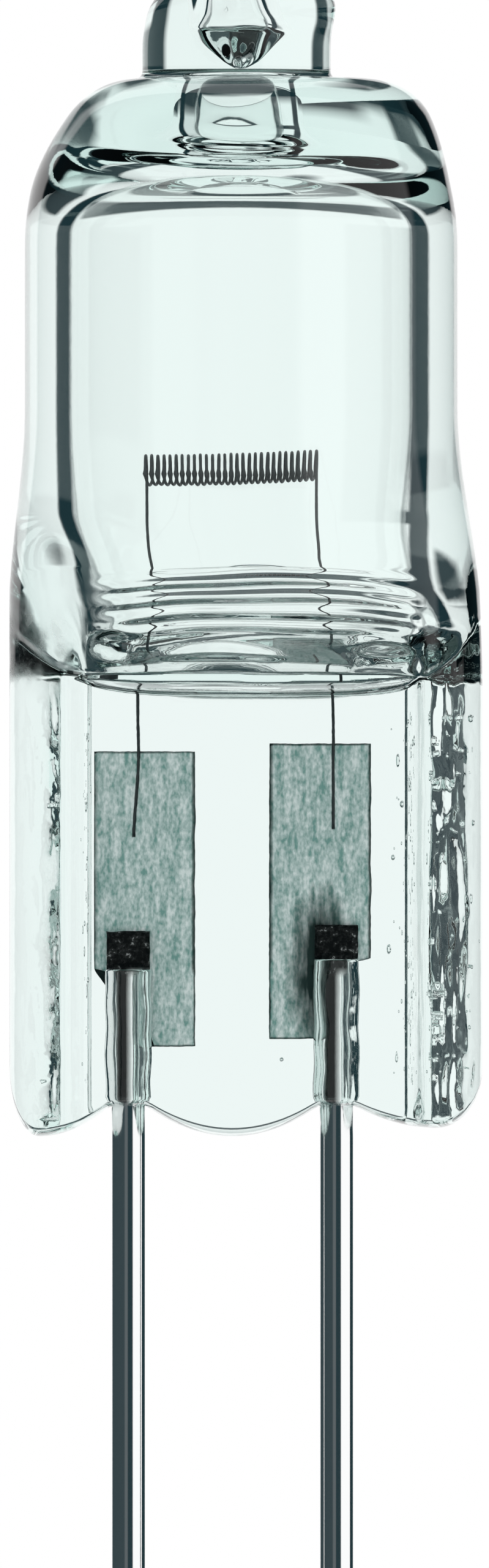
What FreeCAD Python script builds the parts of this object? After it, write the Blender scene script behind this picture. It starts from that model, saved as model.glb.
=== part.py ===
import FreeCAD, Part
import os
from math import acos, cos, pi, sin, sqrt

Vector = FreeCAD.Vector

# Low-voltage halogen capsule bulb with two plain pins. All sizes are millimetres.
# X runs through both pins and Z up to the exhaust tip. The origin is midway between the pins,
# level with the lowest edge of the pinched glass seal. The view of the seal's face is along Y.

# Lead pins, drawn molybdenum wire
pin_spacing = 4.0
pin_diameter = 0.65
pin_reach = 8.7             # from the origin down to the pins' ends
pin_end_bevel = 0.1
pin_root_diameter = 0.61    # inside the glass
pin_root_taper = 0.6        # height over which a pin thins where it enters the glass
weld_pad_width = 0.82       # the pressed-flat end that is welded to the foil
weld_pad_thickness = 0.38
weld_pad_height = 0.65
left_weld_level = 3.27      # underside of each flattened end
right_weld_level = 3.45

# Sealing foils, rolled molybdenum with etched edges
foil_spacing = 3.38         # centre to centre
foil_width = 1.95
foil_length = 5.67
foil_thickness = 0.04
foil_edge_thickness = 0.012
foil_edge_bevel = 0.25
foil_notch_drop = 0.05      # the foil's outer corner is torn off, from here below the weld down
left_foil_level = 1.72      # lower end of each foil
right_foil_level = 1.87

# Filament, one tungsten wire: leg, coil, leg
wire_diameter = 0.06
coil_diameter = 0.62        # over the wire
coil_turns = 28.5
coil_pitch = 0.1187
coil_height = 3.86          # axis of the coil above the floor of the hollow
coil_tilt = 0.09            # rise of the coil from its left end to its right end
left_leg_bow = 0.09         # how far each leg spreads outwards on its way down
right_leg_bow = 0.05
leg_bow_share = 0.45        # share of the way down where it spreads most
leg_straight_share = 0.8    # and from where it runs straight down
left_leg_foot = -1.80       # where each leg enters the seal, across the bulb
right_leg_foot = 1.94
leg_lap = 1.62              # length of each leg that lies on its foil
leg_lap_slant = 0.06        # how far to the left a leg runs on its foil
facets_per_turn = 8
facets_round_wire = 6
leg_steps = 7

# Fused silica tube, dome and exhaust tip; their heights stack up from the seal
tube_diameter = 8.32
tube_wall = 0.86
tube_shift = 0.17           # axis of the tube from the pins' middle
dome_thickness = 1.7        # glass above the hollow
dome_height = 3.2           # height in which the side draws in
dome_side_radius = 4.94
dome_corner_radius = 1.45
tip_diameter = 3.62
tip_shift = 0.08
tip_height = 2.3            # above the dome
tip_round = 1.1             # height of the tip's melted end
tip_foot_height = 0.12      # the melted joint between tip and dome
tip_foot_width = 0.24

# Hollow of the bulb
cavity_rise = 0.5           # its floor above the flat jaw faces
cavity_height = 9.65
cavity_corner_radius = 1.35
cavity_bowl_height = 1.75   # height in which it opens from its floor to the full round
cavity_floor_thickness = 0.36
cavity_floor_roll = 0.15    # height of the rounded edge along the floor
cavity_floor_corner_width = 1.6
cavity_floor_corner_height = 0.9
cavity_lean = 0.38          # how far its lower end leans to the right
cavity_lean_start = 0.8     # from this far above the floor
cavity_lean_height = 2.2    # it comes back over this height
bore_diameter = 1.73        # the exhaust bore, left when the tip was melted off
bore_length = 1.5
bore_mouth_flare = 0.35
bore_end_slope = 0.45       # height of the bore's pointed end
bore_end_share = 0.45       # width left at its very end, as a share of the bore's
bubble_cover = 0.6          # glass above the bubble caught in the melted tip
bubble_height = 1.58
bubble_cone = 0.83          # height of its pointed lower part
bubble_top_share = 0.5      # its width at the top, as a share of its greatest width
bubble_diameter = 1.36

# Pinched seal
seal_width = 9.08
seal_height = 8.45          # the flat jaw faces end here
seal_shift = 0.27
seal_web = 2.2              # thickness between the flat jaw faces
seal_rail = 3.5             # thickness of the beads that rise along both edges
rail_width_left = 1.30
rail_width_right = 1.08
rail_slope = 0.34           # width of the step from the flat face up to a bead
rail_round = 0.95           # how far in a bead's rounded edge reaches
mouth_level = 0.58          # glass drawn up around each pin
mouth_width = 0.70
left_corner_width = 0.57
left_corner_height = 1.4
left_corner_fullness = 0.29     # how near a corner comes to square: 0.29 is round, 0 square
left_lobe_level = 0.07          # foot of the glass half way between corner and pin
right_corner_width = 0.88
right_corner_height = 1.35
right_corner_fullness = 0.36
right_corner_level = 0.16       # the foot rises this far towards the right corner
right_lobe_level = 0.23
foot_round = 0.5            # height of the melted edge along the foot of the seal
foot_thinning = 0.3         # share of the thickness lost at the very foot

# Stretch where the seal opens out into the tube
opening_height = 2.85
opening_fillet = 0.2        # share of that height over which the hollow curve at its foot reaches
opening_bluntness = 1.9     # power that makes its upper end blunt
opening_bulge = 0.5         # power that makes it bulge out at its foot
opening_arch = 0.35         # it ends this much lower towards the sides
opening_arch_middle = 0.5   # the arch's highest place, across the bulb
left_edge_climb = 2.1       # at the seal's edges it starts higher by this much
right_edge_climb = 2.8
left_edge_steepness = 4.0   # powers that keep the climb near the edges
right_edge_steepness = 6.0
edge_blend = 1.2            # height of the opening at the very edges, at the least
narrowing_start = 1.35      # above the jaw faces, the seal's width begins to draw in
narrowing_height = 4.2      # and is the tube's after this height

# Room left round the metal in the glass
capillary_gap = 0.10        # round each pin, open at the foot
pad_gap = 0.02
foil_gap = 0.01
leg_gap = 0.02

# Fineness and overlaps of the modelling
ring_points = 32
foot_rings = 2
opening_rings = 8
ring_crowding = 1.6         # power that brings the rings closer together at the opening's foot
narrowing_rings = 2
cavity_rings = 7
side_facets = 3             # down the dome's side
corner_facets = 4           # round the dome's and the hollow's upper corners
tip_facets = 5              # over the tip's melted end
join_overlap = 0.25
join_step = 0.01
trim_margin = 1.0           # how far a trimming block reaches past what it trims

pin_radius = pin_diameter / 2
tube_radius = tube_diameter / 2
tip_radius = tip_diameter / 2
bore_radius = bore_diameter / 2
cavity_radius = tube_radius - tube_wall
coil_radius = (coil_diameter - wire_diameter) / 2
coil_length = coil_turns * coil_pitch
wire_flat = wire_diameter / 2 * cos(pi / facets_round_wire)
leg_depth = pin_radius - wire_flat      # the legs and the pins lie on the same face of the foils

cavity_floor = seal_height + cavity_rise
cavity_top = cavity_floor + cavity_height
cavity_plain = cavity_floor + max(cavity_bowl_height, cavity_lean_start + cavity_lean_height)
coil_level = cavity_floor + coil_height
dome_top = cavity_top + dome_thickness
dome_start = dome_top - dome_height
tip_top = dome_top + tip_height
bore_top = cavity_top + bore_length
bubble_top = tip_top - bubble_cover
bubble_bottom = bubble_top - bubble_height
bubble_shoulder = bubble_bottom + bubble_cone
round_again = seal_height + opening_height
narrow_from = seal_height + narrowing_start
width_again = narrow_from + narrowing_height

sides = {"left": -1, "right": 1}
weld_level = {"left": left_weld_level, "right": right_weld_level}
foil_level = {"left": left_foil_level, "right": right_foil_level}
leg_foot = {"left": left_leg_foot, "right": right_leg_foot}
leg_bow = {"left": left_leg_bow, "right": right_leg_bow}
rail_width = {"left": rail_width_left, "right": rail_width_right}
edge_climb = {"left": left_edge_climb, "right": right_edge_climb}
edge_steepness = {"left": left_edge_steepness, "right": right_edge_steepness}


def ease(share):
    share = min(max(share, 0.0), 1.0)
    return share * share * (3 - 2 * share)


def mix(first, second, share):
    return first + (second - first) * share


def flat_point(point):
    return Vector(point[0], 0, point[1])


def line(start, end):
    return Part.LineSegment(flat_point(start), flat_point(end)).toShape()


def arc(start, middle, end):
    return Part.Arc(flat_point(start), flat_point(middle), flat_point(end)).toShape()


def on_circle(centre, radius, degrees):
    angle = degrees * pi / 180
    return centre[0] + radius * cos(angle), centre[1] + radius * sin(angle)


def chords(centre, radius, first, last, count):
    # points along an arc, from one angle to another
    return [on_circle(centre, radius, mix(first, last, step / count)) for step in range(count + 1)]


def turned(outline, shift):
    # a round body from the outline of its half section
    wire = Part.makePolygon([flat_point(point) for point in outline + outline[:1]])
    solid = Part.Face(wire).revolve(Vector(0, 0, 0), Vector(0, 0, 1), 360)
    solid.translate(Vector(shift, 0, 0))
    return solid


def tube_and_dome():
    side_centre = (tube_radius - dome_side_radius, dome_start)
    corner_height = dome_top - dome_corner_radius
    reach = dome_side_radius - dome_corner_radius
    rise = corner_height - dome_start
    corner_centre = (side_centre[0] + sqrt(reach ** 2 - rise ** 2), corner_height)
    lean = Vector(corner_centre[0] - side_centre[0], rise, 0).getAngle(Vector(1, 0, 0)) * 180 / pi
    outline = [(0, width_again), (tube_radius, width_again)]
    outline += chords(side_centre, dome_side_radius, 0, lean, side_facets)
    outline += chords(corner_centre, dome_corner_radius, lean, 90, corner_facets)[1:]
    outline.append((0, dome_top))
    return turned(outline, tube_shift)


def exhaust_tip():
    foot = dome_top - tip_foot_height
    shoulder = tip_top - tip_round
    outline = [(0, foot), (tip_radius + tip_foot_width, foot), (tip_radius, dome_top + tip_foot_height)]
    for step in range(tip_facets):
        angle = pi / 2 * step / tip_facets
        outline.append((tip_radius * cos(angle), shoulder + tip_round * sin(angle)))
    outline.append((0, tip_top))
    return turned(outline, tip_shift)


def cavity_and_bore():
    corner = (cavity_radius - cavity_corner_radius, cavity_top - cavity_corner_radius)
    outline = [(0, cavity_plain), (cavity_radius, cavity_plain)]
    outline += chords(corner, cavity_corner_radius, 0, 90, corner_facets)
    outline += [
        (bore_radius + bore_mouth_flare, cavity_top),
        (bore_radius, cavity_top + bore_mouth_flare),
        (bore_radius, bore_top - bore_end_slope),
        (bore_radius * bore_end_share, bore_top),
        (0, bore_top),
    ]
    return turned(outline, tube_shift)


def tip_bubble():
    radius = bubble_diameter / 2
    outline = [(0, bubble_bottom), (radius, bubble_shoulder), (radius * bubble_top_share, bubble_top),
               (0, bubble_top)]
    return turned(outline, tip_shift)


def ring(points):
    return Part.makePolygon(points + points[:1])


def seal_half(x):
    # half the thickness of the pinched glass at x from the middle of the seal
    rail = rail_width["left" if x < 0 else "right"]
    inward = seal_width / 2 - abs(x)
    bead = seal_rail / 2 * sqrt(1 - (1 - min(inward / rail_round, 1)) ** 2)
    return mix(bead, seal_web / 2, ease((inward - rail) / rail_slope))


def section_turns():
    # where the corners of the seal's section stand: at even turns, and at both ends of the step
    # between each bead and the flat face
    steps = []
    for side, outward in sides.items():
        for inward in (rail_width[side], rail_width[side] + rail_slope):
            turn = acos(outward * (seal_width / 2 - inward) / (seal_width / 2))
            steps += [turn, 2 * pi - turn]
    even = [2 * pi * step / ring_points for step in range(ring_points)]
    nearest = pi / ring_points / 2
    return sorted(steps + [turn for turn in even if min(abs(turn - other) for other in steps) > nearest])


def arch_at(x):
    return opening_arch * ((x - opening_arch_middle) / tube_radius) ** 2


def opened_at(x, z):
    # how far the seal has opened into the round tube at x and z, from 0 to 1
    across = (x - seal_shift) / (seal_width / 2)
    side = "left" if across < 0 else "right"
    foot = seal_height + edge_climb[side] * abs(across) ** edge_steepness[side]
    top = max(round_again - arch_at(x), foot + edge_blend)
    share = min(max((z - foot) / (top - foot), 0.0), 1.0)
    return (1 - (1 - share) ** opening_bluntness) ** opening_bulge * ease(share / opening_fillet)


def outer_ring(z, inset=0.0):
    half_width = mix(seal_width / 2, tube_radius, ease((z - narrow_from) / narrowing_height)) - inset
    axis = mix(seal_shift, tube_shift, ease((z - seal_height) / (width_again - seal_height)))
    melted = 1 - foot_thinning * (1 - min(max(z / foot_round, 0.0), 1.0)) ** 2
    points = []
    for turn in section_turns():
        x = axis + half_width * cos(turn)
        pressed = melted * seal_half(cos(turn) * seal_width / 2)
        depth = mix(pressed, (tube_radius - inset) * abs(sin(turn)), opened_at(x, z))
        points.append(Vector(x, depth if turn < pi else -depth, z))
    return points


def pinched_glass():
    # the seal and the stretch where it opens out into the tube, which it enters just inside
    above_corners = max(left_corner_height, right_corner_height) + join_overlap
    heights = [-mouth_level] + [foot_round * step / foot_rings for step in range(foot_rings + 1)]
    heights.append(above_corners)
    heights += [mix(seal_height, round_again, (step / opening_rings) ** ring_crowding)
                for step in range(opening_rings + 1)]
    heights += [mix(round_again, width_again, step / narrowing_rings)
                for step in range(1, narrowing_rings + 1)]
    rings = [ring(outer_ring(z)) for z in heights[:-1]]
    rings += [ring(outer_ring(z, join_step)) for z in (width_again, width_again + join_overlap)]
    return Part.makeLoft(rings, True, True)


def cavity_ring(z, inset=0.0):
    # the hollow closes like a bowl towards the seal and ends in a narrow rounded floor
    rise = z - cavity_floor
    leaning = 1 - ease((rise - cavity_lean_start) / cavity_lean_height)
    corner = min(rise / cavity_floor_corner_height, 1)
    half_width = cavity_radius - inset - cavity_floor_corner_width * (1 - sqrt(1 - (1 - corner) ** 2))
    rolled = sqrt(min(rise / cavity_floor_roll, 1))
    points = []
    for step in range(ring_points):
        turn = 2 * pi * step / ring_points
        x = tube_shift + cavity_lean * leaning + half_width * cos(turn)
        share = min(rise / (cavity_bowl_height - arch_at(x)), 1)
        depth = mix(cavity_floor_thickness / 2, cavity_radius - inset, sqrt(1 - (1 - share) ** 2))
        points.append(Vector(x, rolled * depth * sin(turn), z))
    return points


def cavity_foot():
    heights = [cavity_floor + join_step]
    heights += [mix(cavity_floor + cavity_floor_roll, cavity_floor + cavity_bowl_height,
                    (step / cavity_rings) ** ring_crowding) for step in range(cavity_rings + 1)]
    rings = [ring(cavity_ring(z)) for z in heights]
    rings += [ring(cavity_ring(z, join_step)) for z in (cavity_plain, cavity_plain + join_overlap)]
    return Part.makeLoft(rings, True, True)


def foot_outline():
    # the melted foot of the seal seen from the front: a lobe between the pins, one outside each
    # pin and the glass drawn up round the pins between them
    left_edge = seal_shift - seal_width / 2
    right_edge = seal_shift + seal_width / 2
    mouth = mouth_width / 2
    left_pin = -pin_spacing / 2
    right_pin = pin_spacing / 2
    left_corner = (left_edge + left_corner_width, 0)
    right_corner = (right_edge - right_corner_width, right_corner_level)
    left_lobe = ((left_corner[0] + left_pin - mouth) / 2, left_lobe_level)
    right_lobe = ((right_pin + mouth + right_corner[0]) / 2, right_lobe_level)
    left_middle = (left_edge + left_corner_fullness * left_corner_width,
                   left_corner_fullness * left_corner_height)
    right_middle = (right_edge - right_corner_fullness * right_corner_width,
                    mix(right_corner_level, right_corner_height, right_corner_fullness))
    low = -mouth_level - trim_margin
    edges = [
        arc((left_edge, left_corner_height), left_middle, left_corner),
        arc(left_corner, left_lobe, (left_pin - mouth, mouth_level)),
        line((left_pin - mouth, mouth_level), (left_pin + mouth, mouth_level)),
        arc((left_pin + mouth, mouth_level), (0, 0), (right_pin - mouth, mouth_level)),
        line((right_pin - mouth, mouth_level), (right_pin + mouth, mouth_level)),
        arc((right_pin + mouth, mouth_level), right_lobe, right_corner),
        arc(right_corner, right_middle, (right_edge, right_corner_height)),
        line((right_edge, right_corner_height), (right_edge + trim_margin, right_corner_height)),
        line((right_edge + trim_margin, right_corner_height), (right_edge + trim_margin, low)),
        line((right_edge + trim_margin, low), (left_edge - trim_margin, low)),
        line((left_edge - trim_margin, low), (left_edge - trim_margin, left_corner_height)),
        line((left_edge - trim_margin, left_corner_height), (left_edge, left_corner_height)),
    ]
    return Part.Wire(edges)


def below_foot():
    block = Part.Face(foot_outline()).extrude(Vector(0, 2 * seal_rail, 0))
    block.translate(Vector(0, -seal_rail, 0))
    return block


def box(low, high):
    size = high - low
    return Part.makeBox(size.x, size.y, size.z, low)


def weld_pad(side, gap=0.0):
    # the flattened end of a pin, flush with the pin's back
    x = sides[side] * pin_spacing / 2
    half = weld_pad_width / 2 + gap
    bottom = weld_level[side]
    low = Vector(x - half, pin_radius - weld_pad_thickness - gap, bottom - gap)
    high = Vector(x + half, pin_radius + gap, bottom + weld_pad_height + gap)
    return box(low, high)


def pin(side):
    x = sides[side] * pin_spacing / 2
    tip = Part.makeCone(pin_radius - pin_end_bevel, pin_radius, pin_end_bevel, Vector(x, 0, -pin_reach))
    shank = Part.makeCylinder(pin_radius, pin_reach - pin_end_bevel, Vector(x, 0, pin_end_bevel - pin_reach))
    root = pin_root_diameter / 2
    taper = Part.makeCone(pin_radius, root, pin_root_taper, Vector(x, 0, 0))
    stem = Part.makeCylinder(root, weld_level[side] - pin_root_taper, Vector(x, 0, pin_root_taper))
    return tip.fuse([shank, taper, stem, weld_pad(side)])


def capillary(side):
    # the open space that shrinkage leaves round a pin in the glass
    x = sides[side] * pin_spacing / 2
    radius = pin_radius + capillary_gap
    height = weld_level[side] + pad_gap
    return Part.makeCylinder(radius, height + mouth_level, Vector(x, 0, -mouth_level))


def foil(side, gap=0.0):
    # a flat strip with bevelled long edges, lying behind the pin and the leg
    middle = sides[side] * foil_spacing / 2
    half = foil_width / 2 + gap
    flat = half - foil_edge_bevel
    front = pin_radius - gap
    back = pin_radius + foil_thickness + gap
    edge_front = pin_radius + (foil_thickness - foil_edge_thickness) / 2 - gap
    edge_back = pin_radius + (foil_thickness + foil_edge_thickness) / 2 + gap
    bottom = foil_level[side] - gap
    outline = [
        (-half, edge_front), (-flat, front), (flat, front), (half, edge_front),
        (half, edge_back), (flat, back), (-flat, back), (-half, edge_back), (-half, edge_front),
    ]
    points = [Vector(middle + x, y, bottom) for x, y in outline]
    strip = Part.Face(Part.makePolygon(points)).extrude(Vector(0, 0, foil_length + 2 * gap))
    return strip.cut(torn_corner(side, gap))


def torn_corner(side, gap):
    # the outer lower corner of the foil is missing, from the pin's middle outwards
    outward = sides[side]
    inner = outward * pin_spacing / 2 + outward * gap
    outer = outward * (foil_spacing / 2 + foil_width / 2 + trim_margin)
    top = weld_level[side] - foil_notch_drop - gap
    low = Vector(min(inner, outer), pin_radius - trim_margin, foil_level[side] - trim_margin)
    high = Vector(max(inner, outer), pin_radius + trim_margin, top)
    return box(low, high)


def coil_point(turn):
    angle = 2 * pi * turn
    x = turn * coil_pitch - coil_length / 2
    axis = coil_level + coil_tilt * x / coil_length
    return Vector(x, coil_radius * cos(angle), axis + coil_radius * sin(angle))


def leg_curve(side):
    # from the coil's end down through the hollow and the seal to the end of the lap on the foil
    outward = sides[side]
    start = coil_point(0 if side == "left" else coil_turns)
    foil_top = foil_level[side] + foil_length
    entry = Vector(leg_foot[side], leg_depth, foil_top)
    widest = (start + entry) / 2 + Vector(outward * leg_bow[side], 0, 0)
    widest.z = mix(start.z, foil_top, leg_bow_share)
    above = Vector(mix(widest.x, entry.x, leg_straight_share), leg_depth,
                   mix(start.z, foil_top, leg_straight_share))
    end = entry - Vector(leg_lap_slant, 0, leg_lap)
    curve = Part.BSplineCurve()
    curve.interpolate([start, widest, above, entry, end], InitialTangent=Vector(0, 0, -1),
                      FinalTangent=Vector(0, 0, -1))
    return curve


def leg_points(side):
    curve = leg_curve(side)
    ends = curve.FirstParameter, curve.LastParameter
    return [curve.value(mix(ends[0], ends[1], step / leg_steps)) for step in range(leg_steps + 1)]


def facet_ring(points, index, radius):
    # a many-sided section of the wire, square to the path, with two sides facing along Y
    before = (points[:1] + points)[index]
    after = (points[1:] + points[-1:])[index]
    along = (after - before).normalize()
    across = Vector(1, 0, 0) - along * along.x
    across.normalize()
    up = along.cross(across)
    corners = []
    for corner in range(facets_round_wire + 1):
        angle = 2 * pi * corner / facets_round_wire
        corners.append(points[index] + across * (radius * cos(angle)) + up * (radius * sin(angle)))
    return Part.makePolygon(corners)


def wire_along(points, radius):
    sections = [facet_ring(points, index, radius) for index in range(len(points))]
    return Part.makeLoft(sections, True, True)


def filament():
    count = round(coil_turns * facets_per_turn)
    coil = [coil_point(coil_turns * step / count) for step in range(1, count)]
    path = leg_points("left")[::-1] + coil + leg_points("right")
    return wire_along(path, wire_diameter / 2)


def leg_hole(side):
    points = [point for point in leg_points(side) if point.z < round_again]
    points.append(points[-1] + (points[-1] - points[-2]).normalize() * leg_gap)
    return wire_along(points, wire_diameter / 2 + leg_gap)


def envelope():
    glass = tube_and_dome().fuse([exhaust_tip(), pinched_glass()])
    glass = glass.cut([cavity_and_bore(), cavity_foot(), tip_bubble(), below_foot()])
    room = []
    for side in sides:
        room += [capillary(side), weld_pad(side, pad_gap), foil(side, foil_gap), leg_hole(side)]
    return glass.cut(room)


parts = {
    "envelope": envelope(),
    "filament": filament(),
    "foil_left": foil("left"),
    "foil_right": foil("right"),
    "pin_left": pin("left"),
    "pin_right": pin("right"),
}

os.makedirs("parts", exist_ok=True)
for name, shape in parts.items():
    if shape.ShapeType == "Compound" and len(shape.Solids) == 1:
        shape = shape.Solids[0]
    shape.exportStep("parts/" + name + ".step")
    print(name, len(shape.Solids), "solid", round(shape.Volume, 4), "mm3", shape.isValid())
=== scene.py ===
import math
import random

import bmesh
import bpy
from mathutils import Matrix, Vector, noise


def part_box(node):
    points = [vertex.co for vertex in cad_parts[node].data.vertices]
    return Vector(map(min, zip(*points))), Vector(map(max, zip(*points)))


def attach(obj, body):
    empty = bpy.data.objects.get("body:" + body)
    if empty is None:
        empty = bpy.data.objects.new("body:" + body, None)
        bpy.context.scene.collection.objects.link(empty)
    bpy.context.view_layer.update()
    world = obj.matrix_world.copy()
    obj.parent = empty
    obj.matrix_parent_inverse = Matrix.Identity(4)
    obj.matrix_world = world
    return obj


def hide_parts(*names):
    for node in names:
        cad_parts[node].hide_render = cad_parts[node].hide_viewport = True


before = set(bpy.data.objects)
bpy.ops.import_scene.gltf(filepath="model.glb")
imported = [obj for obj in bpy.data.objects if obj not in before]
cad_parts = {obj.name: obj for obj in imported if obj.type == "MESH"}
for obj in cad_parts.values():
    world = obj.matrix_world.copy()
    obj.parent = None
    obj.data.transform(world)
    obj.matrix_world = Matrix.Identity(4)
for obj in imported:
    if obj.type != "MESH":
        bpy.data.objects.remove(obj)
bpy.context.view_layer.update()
mm = 0.001  # everything below is in millimetres until a mesh is made
mergeDistance = 0.0003


def clamp(value, low=0.0, high=1.0):
    return min(max(value, low), high)


def mix(first, second, share):
    return first + (second - first) * share


def ease(share):
    share = clamp(share)
    return share * share * (3 - 2 * share)


def steps(first, last, count):
    return [mix(first, last, i / count) for i in range(count + 1)]


def wobble(x, y, z):
    # smooth noise between about -1 and 1, which changes over about one unit of x, y and z; a plain
    # number among the three picks another stretch of it
    return noise.noise(Vector((x, y, z)))


def boxOf(node):
    low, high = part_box(node)
    return low / mm, high / mm


def bentGrid(columns, rows, place, inward=False):
    # a grid bent into shape: place(u, v) gives each point, with u and v from 0 to 1
    bm = bmesh.new()
    bmesh.ops.create_grid(bm, x_segments=columns, y_segments=rows, size=0.5)
    for vert in bm.verts:
        vert.co = place(vert.co.x + 0.5, vert.co.y + 0.5)
    bmesh.ops.remove_doubles(bm, verts=bm.verts, dist=mergeDistance)
    bmesh.ops.recalc_face_normals(bm, faces=bm.faces)
    if inward:
        bmesh.ops.reverse_faces(bm, faces=bm.faces)
    return bm


def ringSkin(columns, rings, inward=False):
    # a skin through rings, each a function of the turn from 0 to 1
    last = len(rings) - 1
    return bentGrid(columns, last, lambda u, v: Vector(rings[round(v * last)](u)), inward)


def joined(parts):
    whole = bmesh.new()
    for part in parts:
        carrier = bpy.data.meshes.new("carrier")
        part.to_mesh(carrier)
        part.free()
        whole.from_mesh(carrier)
        bpy.data.meshes.remove(carrier)
    return whole


def makePiece(name, bm, material, node):
    # a finished mesh that stands for a CAD node
    bmesh.ops.scale(bm, vec=(mm, mm, mm), verts=bm.verts)
    mesh = bpy.data.meshes.new(name)
    bm.to_mesh(mesh)
    bm.free()
    mesh.shade_smooth()
    mesh.materials.append(material)
    piece = bpy.data.objects.new(name, mesh)
    bpy.context.scene.collection.objects.link(piece)
    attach(piece, "root")
    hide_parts(node)


def linear(hexColour):
    # an sRGB colour as the linear values that a shader takes
    channels = [int(hexColour[i:i + 2], 16) / 255 for i in (1, 3, 5)]
    return [c / 12.92 if c <= 0.04045 else ((c + 0.055) / 1.055) ** 2.4 for c in channels] + [1.0]


def addNode(tree, kind, settings=(), inputs=(), feeds=(), stops=()):
    # one node: its own settings, values for its inputs, the outputs that feed them, and for a
    # colour ramp its stops as (place, level) of grey
    node = tree.nodes.new(kind)
    for name, value in dict(settings).items():
        setattr(node, name, value)
    for name, value in dict(inputs).items():
        node.inputs[name].default_value = value
    for name, source in dict(feeds).items():
        tree.links.new(source, node.inputs[name])
    if stops:
        elements = node.color_ramp.elements
        while len(elements) < len(stops):
            elements.new(0.5)
        for element, (place, level) in zip(elements, stops):
            element.position = place
            element.color = (level, level, level, 1)
    return node


def newMaterial(name, values):
    # a material whose even values sit straight on the shader's sockets
    material = bpy.data.materials.new(name)
    material.use_nodes = True
    shader = material.node_tree.nodes["Principled BSDF"]
    for socket, value in values.items():
        shader.inputs[socket].default_value = value
    return material, material.node_tree, shader


def span(pair, scale=1.0, end="From"):
    # two limits as the values of a map range node
    return {end + " Min": pair[0] * scale, end + " Max": pair[1] * scale}


glassLow, glassHigh = boxOf("envelope")
pinLow, pinHigh = boxOf("pin_left")
pinRadius = (pinHigh.y - pinLow.y) / 2
pinReach = pinLow.z
pinOffset = round(-(pinLow.x + pinHigh.x) / 2, 4)  # from the middle out to each pin
sides = {"left": -1, "right": 1}
print("frame loaded")


# fused silica: clear, with the faint green of the photo and a slightly rippled skin
silica, silicaTree, silicaShader = newMaterial("fused silica", {
    "Base Color": linear("#fbfffe"),
    "IOR": 1.458,
    "Transmission Weight": 1.0,
})

# tungsten wire: dark grey, satin
tungsten = newMaterial("tungsten wire", {
    "Base Color": linear("#3a3e40"),
    "Metallic": 0.7,
    "Roughness": 0.45,
})[0]

# etched molybdenum foil: matt grey-green with upright streaks
foilMetal, foilTree, foilShader = newMaterial("molybdenum foil", {
    "Metallic": 0.9,
    "Roughness": 0.42,
})

# drawn molybdenum pin: bright slate grey
pinMetal, pinTree, pinShader = newMaterial("molybdenum pin", {
    "Metallic": 1.0,
})


foilFinish = {
    "streakSize": (0.1667, 0.1667, 0.769),   # of the marks of rolling, which run up the foil
    "grainSize": (0.0667, 0.0667, 0.125),    # of the etching, coarser than it is, so that it shows
    "contrast": (0.76, 1.24),
    "dark": "#85aea8",
    "pale": "#fbffff",
    # the dark of the painted shade round the weld on the right
    "paintedShade": "#283836",
    "paintedShadeMiddle": (1.72, 3.2),               # the middle of a patch of painted shade, round the weld on the right
    "paintedShadeReach": (0.5, 1.2),
    "paintedShadeFade": (1.2, 2.0),
}


def foilLook():
    # streaked and grained, with a dark rim and a cloudy patch of painted shade round one weld
    place = addNode(foilTree, "ShaderNodeTexCoord")

    def pattern(sizes):
        stretched = addNode(foilTree, "ShaderNodeMapping",
                            inputs={"Scale": [1 / (size * mm) for size in sizes]},
                            feeds={"Vector": place.outputs["Object"]})
        return addNode(foilTree, "ShaderNodeTexNoise", inputs={"Scale": 1.0, "Detail": 3.0},
                       feeds={"Vector": stretched.outputs["Vector"]})

    streaked = pattern(foilFinish["streakSize"])
    grained = pattern(foilFinish["grainSize"])
    mottle = addNode(foilTree, "ShaderNodeMath", settings={"operation": "ADD"},
                     feeds={0: streaked.outputs["Fac"], 1: grained.outputs["Fac"]})
    spread = addNode(foilTree, "ShaderNodeMapRange", inputs=span(foilFinish["contrast"]),
                     feeds={"Value": mottle.outputs[0]})
    shades = addNode(foilTree, "ShaderNodeMix", settings={"data_type": "RGBA"},
                     inputs={6: linear(foilFinish["dark"]), 7: linear(foilFinish["pale"])},
                     feeds={0: spread.outputs["Result"]})

    # painted shade: a cloudy dark patch round the weld on the right, mixed in over the streaks
    x, z = foilFinish["paintedShadeMiddle"]
    width, height = foilFinish["paintedShadeReach"]
    centred = addNode(foilTree, "ShaderNodeMapping", settings={"vector_type": "POINT"},
                      inputs={"Location": (-x / width, 0, -z / height),
                              "Scale": (1 / (width * mm), 0, 1 / (height * mm))},
                      feeds={"Vector": place.outputs["Object"]})
    away = addNode(foilTree, "ShaderNodeVectorMath", settings={"operation": "LENGTH"},
                   feeds={0: centred.outputs["Vector"]})
    cloudy = addNode(foilTree, "ShaderNodeMath", settings={"operation": "ADD"},
                     feeds={0: away.outputs["Value"], 1: streaked.outputs["Fac"]})
    unshaded = addNode(foilTree, "ShaderNodeMapRange", inputs=span(foilFinish["paintedShadeFade"]),
                      feeds={"Value": cloudy.outputs[0]})
    rim = addNode(foilTree, "ShaderNodeAttribute", settings={"attribute_name": "rim"})
    plainShare = addNode(foilTree, "ShaderNodeMath", settings={"operation": "MULTIPLY"},
                    feeds={0: unshaded.outputs["Result"], 1: rim.outputs["Fac"]})
    shadedColour = addNode(foilTree, "ShaderNodeMix", settings={"data_type": "RGBA"},
                      inputs={6: linear(foilFinish["paintedShade"])},
                      feeds={0: plainShare.outputs[0], 7: shades.outputs[2]})
    foilTree.links.new(shadedColour.outputs[2], foilShader.inputs["Base Color"])


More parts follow.
